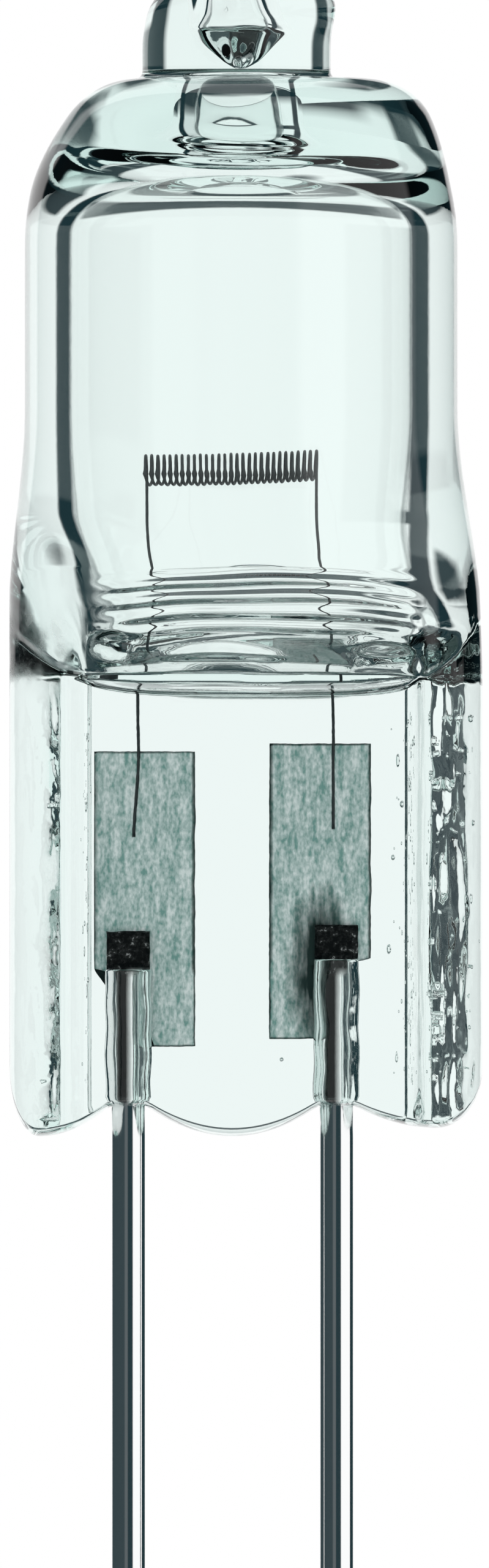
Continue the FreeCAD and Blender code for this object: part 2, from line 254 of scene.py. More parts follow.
pinFinish = {
    "pale": "#fbfcfc",
    "grainSize": 0.1111,     # of the speckle on a weld
    "speckle": [(0.45, 0.012), (0.62, 0.05), (0.7, 0.5)],
    "weld": (3.05, 3.25),    # a pin is dark and speckled from here up
    "enclosed": (0.6, 0.8),  # and, inside the glass from here up, a painted reflection darkens its left half
    "paintedReflectionHalves": (-0.05, 0.1),  # across a pin, from its middle: the painted reflection turns from dark to pale here
    "roughness": (0.1, 0.6),
}


def pinLook():
    # bright along the wire, dark and speckled where it was welded, and inside the glass a painted
    # reflection darkens the left half of each pin
    place = addNode(pinTree, "ShaderNodeTexCoord")
    parts = addNode(pinTree, "ShaderNodeSeparateXYZ", feeds={0: place.outputs["Object"]})
    grain = addNode(pinTree, "ShaderNodeTexNoise",
                    inputs={"Scale": 1 / (pinFinish["grainSize"] * mm), "Detail": 3.0, "Roughness": 0.7},
                    feeds={"Vector": place.outputs["Object"]})
    speckle = addNode(pinTree, "ShaderNodeValToRGB", feeds={"Fac": grain.outputs["Fac"]},
                      stops=pinFinish["speckle"])
    # painted reflection: inside the glass each pin is dark on its left half and pale on its right
    across = addNode(pinTree, "ShaderNodeMath", settings={"operation": "FLOORED_MODULO"},
                     inputs={1: 2 * pinOffset * mm}, feeds={0: parts.outputs["X"]})
    paintedReflectionHalves = addNode(pinTree, "ShaderNodeMapRange",
                     inputs=span([pinOffset + limit for limit in pinFinish["paintedReflectionHalves"]], mm),
                     feeds={"Value": across.outputs[0]})
    enclosed = addNode(pinTree, "ShaderNodeMapRange", inputs=span(pinFinish["enclosed"], mm),
                       feeds={"Value": parts.outputs["Z"]})
    shank = addNode(pinTree, "ShaderNodeMix", settings={"data_type": "RGBA"},
                    inputs={6: linear(pinFinish["pale"])},
                    feeds={0: enclosed.outputs["Result"], 7: paintedReflectionHalves.outputs["Result"]})
    welded = addNode(pinTree, "ShaderNodeMapRange", inputs=span(pinFinish["weld"], mm),
                     feeds={"Value": parts.outputs["Z"]})
    shades = addNode(pinTree, "ShaderNodeMix", settings={"data_type": "RGBA"},
                     feeds={0: welded.outputs["Result"], 6: shank.outputs[2], 7: speckle.outputs["Color"]})
    rough = addNode(pinTree, "ShaderNodeMapRange", inputs=span(pinFinish["roughness"], 1, "To"),
                    feeds={"Value": welded.outputs["Result"]})
    pinTree.links.new(shades.outputs[2], pinShader.inputs["Base Color"])
    pinTree.links.new(rough.outputs["Result"], pinShader.inputs["Roughness"])


silicaFinish = {
    "peelSize": 0.3125,                 # of the orange peel that the jaws leave
    "peelDepth": 0.02,
    "peelLevels": (8.9, 7.9),           # it comes on from the first height down to the second
    "peelStrength": (0.02, 0.22),
    "passed": (0.12, 0.66, 0.56, 1),    # what thick glass lets through of each colour
    "density": 45.0,                    # of the absorption, to the metre
    "dullAcross": (-2.75, -3.15),       # the dull corner, from where it starts to where it is full
    "dullFoot": (8.35, 8.6),
    "dullTop": (10.6, 9.9),
    "mottleSize": 0.4167,
    "mottleContrast": (0.35, 0.65),
    "mottleRoughness": (0.04, 0.32),
}


def silicaLook():
    # the jaws leave an orange peel on the pinched faces
    place = addNode(silicaTree, "ShaderNodeTexCoord")
    parts = addNode(silicaTree, "ShaderNodeSeparateXYZ", feeds={0: place.outputs["Object"]})
    peel = addNode(silicaTree, "ShaderNodeTexNoise",
                   inputs={"Scale": 1 / (silicaFinish["peelSize"] * mm), "Detail": 2.0},
                   feeds={"Vector": place.outputs["Object"]})
    pinched = addNode(silicaTree, "ShaderNodeMapRange",
                      inputs={**span(silicaFinish["peelLevels"], mm),
                              **span(silicaFinish["peelStrength"], 1, "To")},
                      feeds={"Value": parts.outputs["Z"]})
    bump = addNode(silicaTree, "ShaderNodeBump", inputs={"Distance": silicaFinish["peelDepth"] * mm},
                   feeds={"Height": peel.outputs["Fac"], "Strength": pinched.outputs["Result"]})
    silicaTree.links.new(bump.outputs["Normal"], silicaShader.inputs["Normal"])

    # the faint green deepens with the thickness of the glass
    depths = addNode(silicaTree, "ShaderNodeVolumeAbsorption",
                     inputs={"Color": silicaFinish["passed"], "Density": silicaFinish["density"]})
    silicaTree.links.new(depths.outputs["Volume"], silicaTree.nodes["Material Output"].inputs["Volume"])

    # the left corner above the seal was squeezed out freely and is dull and mottled
    sideways = addNode(silicaTree, "ShaderNodeMapRange", inputs=span(silicaFinish["dullAcross"], mm),
                       feeds={"Value": parts.outputs["X"]})
    above = addNode(silicaTree, "ShaderNodeMapRange", inputs=span(silicaFinish["dullFoot"], mm),
                    feeds={"Value": parts.outputs["Z"]})
    below = addNode(silicaTree, "ShaderNodeMapRange", inputs=span(silicaFinish["dullTop"], mm),
                    feeds={"Value": parts.outputs["Z"]})
    corner = addNode(silicaTree, "ShaderNodeMath", settings={"operation": "MULTIPLY"},
                     feeds={0: above.outputs["Result"], 1: below.outputs["Result"]})
    dull = addNode(silicaTree, "ShaderNodeMath", settings={"operation": "MULTIPLY"},
                   feeds={0: corner.outputs[0], 1: sideways.outputs["Result"]})
    grain = addNode(silicaTree, "ShaderNodeTexNoise",
                    inputs={"Scale": 1 / (silicaFinish["mottleSize"] * mm), "Detail": 3.0},
                    feeds={"Vector": place.outputs["Object"]})
    mottled = addNode(silicaTree, "ShaderNodeMapRange",
                      inputs={**span(silicaFinish["mottleContrast"]),
                              **span(silicaFinish["mottleRoughness"], 1, "To")},
                      feeds={"Value": grain.outputs["Fac"]})
    rough = addNode(silicaTree, "ShaderNodeMath", settings={"operation": "MULTIPLY"},
                    feeds={0: dull.outputs[0], 1: mottled.outputs["Result"]})
    silicaTree.links.new(rough.outputs[0], silicaShader.inputs["Roughness"])


foilLook()
pinLook()
silicaLook()
print("materials made")


glass = {
    "columns": 200,
    "tubeRadius": (glassHigh.y - glassLow.y) / 2,
    "tubeShift": 0.17,
    "tubeWall": 0.86,
    "tipRadius": 1.81,
    "tipTop": glassHigh.z,
    "tipRound": 1.1,
    "tipShift": 0.08,
    "tipLean": 0.2,          # how far the tip leans to the right at its top
    "tipLeanStart": 20.9,
    "tipLeanHeight": 1.4,
    "tipFlare": 0.16,
    "domeTop": 20.3,
    "domeStart": 17.1,
    "domeSideRadius": 4.94,
    "domeCornerRadius": 1.45,
    "domeLean": 0.2,         # the shoulder stands further out on the right
    "domeLeanStart": 1.0,    # from this far up the dome
    "domeLeanHeight": 2.2,
    "sealWidth": glassHigh.x - glassLow.x,
    "sealShift": (glassHigh.x + glassLow.x) / 2,
    "sealWeb": 2.2,
    "sealRail": 3.5,
    "railWidth": {"left": 1.0, "right": 1.08},
    "railSlope": {"left": 0.55, "right": 0.34},
    "railRound": {"left": 1.75, "right": 1.3},
    "streakDepth": {"left": 0.02, "right": 0.05},
    "streakEdge": 0.12,      # the streaks fade out over this at the seal's edge
    "streakFade": 0.2,       # and over this at a bead's inner edge
    "jawTop": 8.45,
    "jawFillet": 0.1,
    "openingTop": 1.98,
    "openingFoot": 0.51,
    "roundAgain": 11.27,
    "cavityRound": 10.73,
    "bowlTop": 2.0,
    "bowlFoot": 0.75,
    "rippleDepth": 0.05,
    "rippleShare": 0.85,     # of that depth on the whole, more or less by the next value
    "rippleUnevenness": 0.4,
    "rippleWander": 0.05,
    "ripplePitch": 0.31,
    "rippleStart": 0.35,
    "rippleBottom": 9.6,
    "rippleTop": 10.75,
    "rippleReach": 2.5,      # to either side of the arch's middle
    "rippleFade": 0.3,
    "rippleSideFade": 0.8,
    "archDrop": 0.35,        # it opens lower towards the sides than in the middle
    "archMiddle": 0.5,
    "edgeClimb": {"left": 1.2, "right": 1.6},       # the opening starts this much higher at the edges
    "edgeSteepness": {"left": 4.0, "right": 6.0},
    "edgeBlend": 2.4,
    # the small upright facets above the seal: middle, height, half width, half height
    "terraces": [(0.2, 8.8, 3.3, 0.1), (-0.15, 9.15, 1.15, 0.11), (2.87, 9.33, 0.6, 0.14),
                 (-2.2, 9.62, 0.3, 0.12)],
    "terraceWander": 0.05,
    "terraceCatchUp": 3,     # in reaches of a facet from its middle
    "widestAt": 9.8,         # the glass draws in from the seal's width here
    "widthAgain": 14.0,      # to the tube's here
    "openingSeen": 10.9,     # its rings lie closer together below here
    "footTop": 1.9,
    "footRound": 0.2,
    "mouthLevel": 0.58,
    "mouthWidth": 0.70,
    "cornerWidth": {"left": 0.57, "right": 0.88},
    "cornerHeight": {"left": 1.4, "right": 1.35},
    "cornerLevel": {"left": 0.0, "right": 0.16},
    "cavityTop": 18.6,
    "cavityCorner": 1.35,
    "cavityCornerFront": 1.15,
    "cavityFloor": 8.95,
    "floorThickness": 1.07,
    "floorRound": 0.15,
    "floorCornerWidth": 1.6,
    "floorCornerHeight": 0.9,
    "cavityPlain": 12.5,     # the hollow is a plain round above here
    "cavityLowShift": 0.55,  # it leans to the right above the seal
    "cavityLowHalf": 3.36,
    "cavityLeanStart": 0.8,
    "cavityLeanHeight": 2.2,
    "boreRadius": 0.865,
    "boreFlare": 0.35,
    "boreTop": 20.14,
    "boreRound": 0.45,
    "bubbleBottom": 20.42,
    "bubbleShoulder": 21.25,
    "bubbleTop": 22.0,
    "bubbleRadius": 0.68,
    "bubbleShift": 0.05,
    "bubbleCone": 1.35,      # how full its pointed lower part is: 1 is a straight cone
    "bubbleUnevenness": 0.22,
    "bubbleColumns": 64,
}


def roundRing(radius, height, shift):
    def place(turn):
        angle = 2 * math.pi * turn
        return shift + radius * math.cos(angle), radius * math.sin(angle), height
    return place


def sealHalf(x):
    # half the thickness of the pinched glass at x from its middle
    side = "left" if x < 0 else "right"
    inward = glass["sealWidth"] / 2 - abs(x)
    rounding = 1 - min(inward / glass["railRound"][side], 1)
    bead = glass["sealRail"] / 2 * math.sqrt(max(1 - rounding ** 2, 0))
    flat = ease((inward - glass["railWidth"][side]) / glass["railSlope"][side])
    return mix(bead, glass["sealWeb"] / 2, flat)


def streaks(x, height, face):
    # upright flow marks along the two beads, deeper on the right
    side = "left" if x < 0 else "right"
    inward = glass["sealWidth"] / 2 - abs(x)
    inner = glass["railWidth"][side] - glass["streakFade"] / 2
    onRail = ease(inward / glass["streakEdge"]) * (1 - ease((inward - inner) / glass["streakFade"]))
    coarse = wobble(x * 7, height * 0.7 + 9 * face, 4)
    fine = wobble(x * 15, height * 2.2 - 5 * face, 8)
    return glass["streakDepth"][side] * onRail * (coarse + 0.5 * fine)


def archAt(x):
    # how much lower than in the middle the glass is round again at x
    return glass["archDrop"] * ((x - glass["archMiddle"]) / glass["tubeRadius"]) ** 2


def outerOpening(x, height):
    # how far the pinched glass has opened into the round tube: it starts later towards the edges
    across = (x - glass["sealShift"]) / (glass["sealWidth"] / 2)
    side = "left" if across < 0 else "right"
    foot = glass["jawTop"] + glass["edgeClimb"][side] * abs(across) ** glass["edgeSteepness"][side]
    top = max(glass["roundAgain"] - archAt(x), foot + glass["edgeBlend"])
    share = clamp((terraced(x, height) - foot) / (top - foot))
    opened = (1 - (1 - share) ** glass["openingTop"]) ** glass["openingFoot"]
    return opened * ease(share / glass["jawFillet"])


def innerOpening(x, height):
    # the same for the hollow, from its floor up
    top = glass["cavityRound"] - archAt(x)
    share = clamp((terraced(x, height) - glass["cavityFloor"]) / (top - glass["cavityFloor"]))
    return (1 - (1 - share) ** glass["bowlTop"]) ** glass["bowlFoot"]


def ripple(x, height):
    # the flow marks that the jaws left above the seal
    level = height + archAt(x) + glass["rippleWander"] * wobble(x * 0.6, height * 1.1, 2)
    fading = ease((level - glass["rippleBottom"]) / glass["rippleFade"])
    fading *= 1 - ease((level - glass["rippleTop"]) / glass["rippleFade"])
    fading *= 1 - ease((abs(x - glass["archMiddle"]) - glass["rippleReach"]) / glass["rippleSideFade"])
    uneven = glass["rippleShare"] + glass["rippleUnevenness"] * wobble(x * 0.5, level * 2.5, 6)
    return glass["rippleDepth"] * uneven * fading * math.sin(
        2 * math.pi * (level / glass["ripplePitch"] + glass["rippleStart"]))


def terraced(x, height):
    # the height that shapes the glass here: it stands still on the small upright facets above the
    # seal, and catches up again above and below each of them
    catchUp = glass["terraceCatchUp"]
    for middle, level, halfWidth, halfHeight in glass["terraces"]:
        level += glass["terraceWander"] * wobble(x * 0.9, level, 3)
        reach = halfHeight * math.sqrt(max(1 - ((x - middle) / halfWidth) ** 2, 0))
        away = height - level
        if abs(away) < reach:
            return level
        if abs(away) < catchUp * reach:
            return level + math.copysign(catchUp / (catchUp - 1) * (abs(away) - reach), away)
    return height


def axisAt(height):
    # the middle of the glass across, which moves from the seal's to the tube's
    opened = (height - glass["jawTop"]) / (glass["widthAgain"] - glass["jawTop"])
    return mix(glass["sealShift"], glass["tubeShift"], ease(opened))


def footLine(x):
    # height of the melted foot of the glass at x
    side = "left" if x < 0 else "right"
    edge = glass["sealShift"] + sides[side] * glass["sealWidth"] / 2
    corner = edge - sides[side] * glass["cornerWidth"][side]
    low, drawn = glass["cornerLevel"][side], glass["mouthLevel"]
    mouthStart = pinOffset - glass["mouthWidth"] / 2
    mouthEnd = pinOffset + glass["mouthWidth"] / 2
    if abs(x) > abs(corner):
        across = clamp(abs(x - corner) / glass["cornerWidth"][side])
        return mix(low, glass["cornerHeight"][side], 1 - math.sqrt(max(1 - across ** 2, 0)))
    if abs(x) > mouthEnd:
        share = (abs(corner) - abs(x)) / (abs(corner) - mouthEnd)
        return mix(low, drawn, share ** 2)
    if abs(x) > mouthStart:
        return drawn
    return drawn * (x / mouthStart) ** 2


def pinchRing(height):
    # the seal, its foot and the stretch where it opens out into the tube
    narrowed = ease((height - glass["widestAt"]) / (glass["widthAgain"] - glass["widestAt"]))
    halfWidth = mix(glass["sealWidth"] / 2, glass["tubeRadius"], narrowed)
    halfWidth = min(halfWidth, axisAt(height) - glassLow.x)
    melted = math.sqrt(max(1 - (1 - clamp(height / glass["footRound"])) ** 2, 0))

    def place(turn):
        angle = 2 * math.pi * turn
        across = math.cos(angle)
        spot = across * glass["sealWidth"] / 2
        pressed = melted * (sealHalf(spot) + streaks(spot, height, math.copysign(1, math.sin(angle))))
        x = axisAt(height) + halfWidth * across
        full = (glass["tubeRadius"] + ripple(x, height)) * abs(math.sin(angle))
        depth = mix(pressed, full, outerOpening(x, height))
        z = height
        if height < glass["footTop"]:
            z = mix(footLine(x), glass["footTop"], height / glass["footTop"])
        return x, math.copysign(depth, math.sin(angle)), z

    return place


def arcStations(centre, radius, first, last, count):
    return [(centre[0] + radius * math.cos(a), centre[1] + radius * math.sin(a))
            for a in steps(first, last, count)]


def domeStations():
    # (radius, height) down the dome, from the foot of the tip to the straight tube
    sideCentre = (glass["tubeRadius"] - glass["domeSideRadius"], glass["domeStart"])
    cornerHeight = glass["domeTop"] - glass["domeCornerRadius"]
    reach = glass["domeSideRadius"] - glass["domeCornerRadius"]
    rise = cornerHeight - glass["domeStart"]
    cornerCentre = (sideCentre[0] + math.sqrt(reach ** 2 - rise ** 2), cornerHeight)
    lean = math.atan2(rise, cornerCentre[0] - sideCentre[0])
    corner = arcStations(cornerCentre, glass["domeCornerRadius"], math.pi / 2, lean, 16)
    side = arcStations(sideCentre, glass["domeSideRadius"], lean, 0, 16)
    return corner + side[1:]


def outerSkin():
    shoulder = glass["tipTop"] - glass["tipRound"]
    flare = glass["tipFlare"]
    flareCentre = (glass["tipRadius"] + flare, glass["domeTop"] + flare)
    rings = []
    tip = [(glass["tipRadius"] * math.cos(a), shoulder + glass["tipRound"] * math.sin(a))
           for a in steps(math.pi / 2, 0, 16)]
    tip += [(glass["tipRadius"], z) for z in steps(shoulder, flareCentre[1], 8)[1:]]
    tip += arcStations(flareCentre, flare, math.pi, 1.5 * math.pi, 6)[1:]
    for radius, height in tip:
        lean = glass["tipLean"] * ease((height - glass["tipLeanStart"]) / glass["tipLeanHeight"])
        rings.append(roundRing(radius, height, glass["tipShift"] + lean))
    for radius, height in domeStations():
        lean = glass["domeLean"] * ease((height - glass["domeStart"] - glass["domeLeanStart"])
                                        / glass["domeLeanHeight"])
        rings.append(roundRing(radius, height, glass["tubeShift"] + lean))
    straight = steps(glass["domeStart"], glass["widthAgain"], 12)[1:]
    rings += [roundRing(glass["tubeRadius"], height, glass["tubeShift"]) for height in straight]
    heights = steps(glass["widthAgain"], glass["openingSeen"], 20)[1:]
    heights += steps(glass["openingSeen"], glass["jawTop"], 100)[1:]
    heights += steps(glass["jawTop"], glass["footTop"], 50)[1:]
    heights += steps(glass["footTop"], glass["footRound"], 12)[1:]
    heights += [glass["footRound"] * (1 - math.sin(a)) for a in steps(0, math.pi / 2, 10)[1:]]
    rings += [pinchRing(height) for height in heights]
    return ringSkin(glass["columns"], rings)


def cavityRing(height):
    rise = height - glass["cavityFloor"]
    corner = clamp(rise / glass["floorCornerHeight"])
    radius = glass["tubeRadius"] - glass["tubeWall"]
    widened = 1 - ease((rise - glass["cavityLeanStart"]) / glass["cavityLeanHeight"])
    halfWidth = mix(radius, glass["cavityLowHalf"], widened)
    halfWidth -= glass["floorCornerWidth"] * (1 - math.sqrt(1 - (1 - corner) ** 2))
    closing = math.sqrt(clamp(rise / glass["floorRound"]))
    shift = mix(glass["tubeShift"], glass["cavityLowShift"], widened)

    def place(turn):
        angle = 2 * math.pi * turn
        x = shift + halfWidth * math.cos(angle)
        halfDepth = mix(glass["floorThickness"] / 2, radius, innerOpening(x, height)) * closing
        return x, halfDepth * math.sin(angle), height

    return place


def cavitySkin():
    radius = glass["tubeRadius"] - glass["tubeWall"]
    closing = glass["boreTop"] - glass["boreRound"]
    flare = glass["boreFlare"]
    cornerFoot = glass["cavityTop"] - glass["cavityCorner"]
    flareCentre = (glass["boreRadius"] + flare, glass["cavityTop"] + flare)
    stations = [(glass["boreRadius"] * math.cos(a), closing + glass["boreRound"] * math.sin(a))
                for a in steps(math.pi / 2, 0, 8)]
    stations += [(glass["boreRadius"], z) for z in steps(closing, flareCentre[1], 6)[1:]]
    stations += arcStations(flareCentre, flare, math.pi, 1.5 * math.pi, 8)[1:]
    rings = [roundRing(r, z, glass["tubeShift"]) for r, z in stations]

    def cornerRing(a):
        # the corner is tighter in front and behind than to the sides
        def place(turn):
            angle = 2 * math.pi * turn
            corner = mix(glass["cavityCornerFront"], glass["cavityCorner"], math.cos(angle) ** 2)
            reach = radius - corner * (1 - math.cos(a))
            return (glass["tubeShift"] + reach * math.cos(angle), reach * math.sin(angle),
                    glass["cavityTop"] - corner * (1 - math.sin(a)))
        return place

    rings += [cornerRing(a) for a in steps(math.pi / 2, 0, 16)]
    plain, floorEdge = glass["cavityPlain"], glass["cavityFloor"] + glass["floorRound"]
    rings += [roundRing(radius, z, glass["tubeShift"]) for z in steps(cornerFoot, plain, 24)[1:]]
    rings += [cavityRing(z) for z in steps(plain, floorEdge, 60)[1:]]
    rings += [cavityRing(glass["cavityFloor"] + glass["floorRound"] * s * s) for s in steps(1, 0, 6)[1:]]
    return ringSkin(glass["columns"], rings, inward=True)


def bubbleSkin():
    radius, shoulder = glass["bubbleRadius"], glass["bubbleShoulder"]
    stations = [(radius * math.cos(a), shoulder + (glass["bubbleTop"] - shoulder) * math.sin(a))
                for a in steps(math.pi / 2, 0, 12)]
    stations += [(radius * s, mix(glass["bubbleBottom"], shoulder, s ** glass["bubbleCone"]))
                 for s in steps(1, 0, 14)[1:]]
    shift = glass["tipShift"] + glass["bubbleShift"]

    def ring(wanted, height):
        def place(turn):
            angle = 2 * math.pi * turn
            uneven = wobble(math.cos(angle) * 1.3 + 5, math.sin(angle) * 1.3, height * 1.7)
            reach = wanted * (1 + glass["bubbleUnevenness"] * uneven)
            return shift + reach * math.cos(angle), reach * math.sin(angle), height
        return place

    return ringSkin(glass["bubbleColumns"], [ring(r, z) for r, z in stations], inward=True)


capillary = {
    "gap": 0.12,
    "waviness": 0.035,
    "top": {"left": 3.2, "right": 3.4},
    "bottom": 0.68,
    "closing": (0, 0.6, 0.95),  # the rings of its flat ends, as shares of its radius
    "columns": 48,
}


def capillarySkin(side):
    # the uneven air space round a pin
    x = sides[side] * pinOffset
    heights = steps(capillary["top"][side], capillary["bottom"], 60)

    def ring(height, shrink):
        def place(turn):
            angle = 2 * math.pi * turn
            uneven = wobble(math.cos(angle) + x, math.sin(angle), height * 1.6) * capillary["waviness"]
            radius = (pinRadius + capillary["gap"] + uneven) * shrink
            return x + radius * math.cos(angle), radius * math.sin(angle), height
        return place

    rings = [ring(heights[0], s) for s in capillary["closing"]]
    rings += [ring(height, 1) for height in heights]
    rings += [ring(heights[-1], s) for s in reversed(capillary["closing"])]
    return ringSkin(capillary["columns"], rings, inward=True)


seeds = {
    "left": {"count": 70, "seam": -2.98, "spread": 0.07},
    "right": {"count": 90, "seam": 3.68, "spread": 0.1},
    "flecks": {"count": 60, "seam": 3.45, "spread": 0.22},  # a looser row beside the right one
    "low": 0.95,
    "high": 8.05,
    "smallest": 0.014,
    "largest": 0.05,
    "rarity": 3,             # the higher it is, the fewer large ones there are
    "longest": 3.5,          # times as long as it is wide
    "depth": 0.75,
    "speck": (0.946, -0.4, 1.48),
    "speckRadius": 0.04,
}


def seedBubbles():
    # tiny long bubbles along the seams between the thin glass and its two beads
    random.seed(7)
    whole = bmesh.new()

    def seed(x, y, z, radius, length):
        shape = Matrix.Translation((x, y, z)) @ Matrix.Diagonal((radius, radius, radius * length, 1))
        bmesh.ops.create_icosphere(whole, subdivisions=2, radius=1, matrix=shape)

    for group in ("left", "right", "flecks"):
        for i in range(seeds[group]["count"]):
            radius = mix(seeds["smallest"], seeds["largest"], random.random() ** seeds["rarity"])
            x = seeds[group]["seam"] + random.gauss(0, seeds[group]["spread"])
            z = random.uniform(seeds["low"], seeds["high"])
            seed(x, random.uniform(-1, 1) * seeds["depth"], z, radius, random.uniform(1, seeds["longest"]))
    seed(*seeds["speck"], seeds["speckRadius"], 1.0)
    bmesh.ops.reverse_faces(whole, faces=whole.faces)
    return whole


def makeGlass():
    parts = [outerSkin(), cavitySkin(), bubbleSkin()]
    parts += [capillarySkin(side) for side in sides]
    parts.append(seedBubbles())
    makePiece("quartz_bulb", joined(parts), silica, "envelope")


makeGlass()
print("glass made")


wire = {
    "radius": 0.03,
    "sides": 8,
    "coilRadius": 0.28,
    "turns": 28.5,
    "pitch": 0.1187,
    "height": 12.81,
    "tilt": 0.09,
    "stepsPerTurn": 24,
    "stepStart": 0.55,       # a turn moves along to the next place between these shares of it
    "stepShare": 0.4,
    "uprightness": 0.85,
    "jitter": 0.012,
    "unevenness": 0.05,
    "sagBelow": 0.11,        # the front of each turn looks thicker this far under the coil's axis
    "sagReach": 0.06,
    "sagFullness": 0.9,
    "legDepth": 0.299,
    "legFoot": {"left": -1.80, "right": 1.94},
    "legBow": {"left": 0.05, "right": 0.03},
    "legEnd": {"left": 5.75, "right": 5.9},
    "lapTop": 7.4,           # the legs lie on the foils below here
    "lapSlant": {"left": 0.1, "right": 0},
    "lapSlantEnd": 0.35,
    "legSteps": 60,
}


def coilPoint(turn):
    angle = 2 * math.pi * turn
    stepped = math.floor(turn) + ease((turn - math.floor(turn) - wire["stepStart"]) / wire["stepShare"])
    along = (mix(turn, stepped, wire["uprightness"]) - wire["turns"] / 2) * wire["pitch"]
    rise = wire["tilt"] * along / (wire["turns"] * wire["pitch"])
    jitter = wire["jitter"] * wobble(turn * 1.7, 0, 3)
    radius = wire["coilRadius"] * (1 + wire["unevenness"] * wobble(turn * 0.6, 7, 1))
    middle = wire["height"] + rise
    return Vector((along + jitter, radius * math.cos(angle), middle + radius * math.sin(angle)))


def legPoint(side, share):
    # from the coil's end down to the end of the lap on the foil
    start = coilPoint(0 if side == "left" else wire["turns"])
    z = mix(start.z, wire["legEnd"][side], share)
    down = (start.z - z) / (start.z - wire["lapTop"])
    bow = sides[side] * wire["legBow"][side] * math.sin(math.pi * clamp(down))
    x = mix(start.x, wire["legFoot"][side], ease(down)) + bow
    x -= wire["lapSlant"][side] * ease((down - 1) / wire["lapSlantEnd"])
    return Vector((x, mix(start.y, wire["legDepth"], ease(down)), z))


def wireSkin(points, radii, around):
    # a round wire along points
    last = len(points) - 1
    frames = []
    side = Vector((1, 0, 0))
    for i, point in enumerate(points):
        along = (points[min(i + 1, last)] - points[max(i - 1, 0)]).normalized()
        side = (side - along * side.dot(along)).normalized()
        frames.append((side, along.cross(side)))

    def place(u, v):
        i = round(v * (last + 2)) - 1
        ended = i < 0 or i > last
        i = int(clamp(i, 0, last))
        angle = 2 * math.pi * u
        radius = 0 if ended else radii[i]
        first, second = frames[i]
        return points[i] + first * (radius * math.cos(angle)) + second * (radius * math.sin(angle))

    return bentGrid(around, last + 2, place)


def makeFilament():
    left = [legPoint("left", 1 - i / wire["legSteps"]) for i in range(wire["legSteps"])]
    count = round(wire["turns"] * wire["stepsPerTurn"])
    coil = [coilPoint(wire["turns"] * i / count) for i in range(count + 1)]
    right = [legPoint("right", (i + 1) / wire["legSteps"]) for i in range(wire["legSteps"])]
    points = left + coil + right
    radii = []
    for i, point in enumerate(points):
        inCoil = wire["legSteps"] <= i <= wire["legSteps"] + count
        sag = 0
        if inCoil and point.y < 0:
            sag = math.exp(-((point.z - wire["height"] + wire["sagBelow"]) / wire["sagReach"]) ** 2)
        radii.append(wire["radius"] * (1 + wire["sagFullness"] * sag))
    makePiece("filament_wire", wireSkin(points, radii, wire["sides"]), tungsten, "filament")


makeFilament()
print("filament made")


foil = {
    "thickness": 0.035,
    "edgeShare": 0.15,       # of the thickness, left at the very edge
    "edgeTaper": 6,
    "raggedness": 0.02,
    "endRaggedness": 0.03,
    "endSharpness": 8,       # the higher it is, the closer to an end its raggedness stays
    "tornRaggedness": 0.05,
    "darkEdge": 0.045,
    "notch": {"left": 3.2, "right": 3.4},   # below here only the strip beside the pin is left
    "notchHeight": 0.12,
    "stripGap": 0.08,        # from the pin to the edge of that strip
    "columns": 48,           # round the thin section
    "rows": 110,
}


def foilEdges(side, z):
    low, high = boxOf("foil_" + side)
    ragged = foil["raggedness"]
    left = low.x + ragged * wobble(z * 2.2, 3, sides[side])
    right = high.x + ragged * wobble(z * 2.2, 9, sides[side])
    inner = sides[side] * pinOffset - sides[side] * (pinRadius + foil["stripGap"])
    inner += foil["tornRaggedness"] * wobble(z * 3, 1, 1)
    torn = ease((foil["notch"][side] - z) / foil["notchHeight"])
    if side == "left":
        left = mix(left, inner, torn)
    else:
        right = mix(right, inner, torn)
    return left, right


def makeFoil(side):
    low, high = boxOf("foil_" + side)
    middle = (low.y + high.y) / 2

    def place(u, v):
        # u goes round the thin section: front face, then back face
        ragged = foil["endRaggedness"] * wobble(u * 3, 5, 2) * abs(2 * v - 1) ** foil["endSharpness"]
        z = clamp(mix(low.z, high.z, v) + ragged, low.z, high.z)
        left, right = foilEdges(side, z)
        share = 1 - abs(2 * u - 1)
        thin = min(1, foil["edgeTaper"] * min(share, 1 - share) + foil["edgeShare"])
        front = -1 if u < 0.5 else 1
        y = middle + front * foil["thickness"] / 2 * thin
        return Vector((mix(left, right, share), y, z))

    bm = bentGrid(foil["columns"], foil["rows"], place)
    bmesh.ops.holes_fill(bm, edges=[e for e in bm.edges if e.is_boundary])
    bmesh.ops.recalc_face_normals(bm, faces=bm.faces)
    rim = bm.verts.layers.float.new("rim")
    for vert in bm.verts:
        left, right = foilEdges(side, vert.co.z)
        inward = min(vert.co.x - left, right - vert.co.x, vert.co.z - low.z, high.z - vert.co.z)
        vert[rim] = ease(inward / foil["darkEdge"])
    makePiece("foil_sheet_" + side, bm, foilMetal, "foil_" + side)


for side in sides:
    makeFoil(side)
print("foils made")


pin = {
    "endBevel": 0.1,
    "rootRadius": 0.305,
    "weld": {"left": 3.2, "right": 3.42},
    "weldTop": {"left": 3.92, "right": 4.05},
    "weldWidth": 0.82,
    "weldThickness": 0.36,
    "weldDepth": 0.19,       # from the back of the flattened end to its middle
    "weldRoughness": 0.04,
    "weldLap": 0.1,
    "weldCuts": 6,
    "rootUnevenness": 0.03,
    "columns": 40,
}


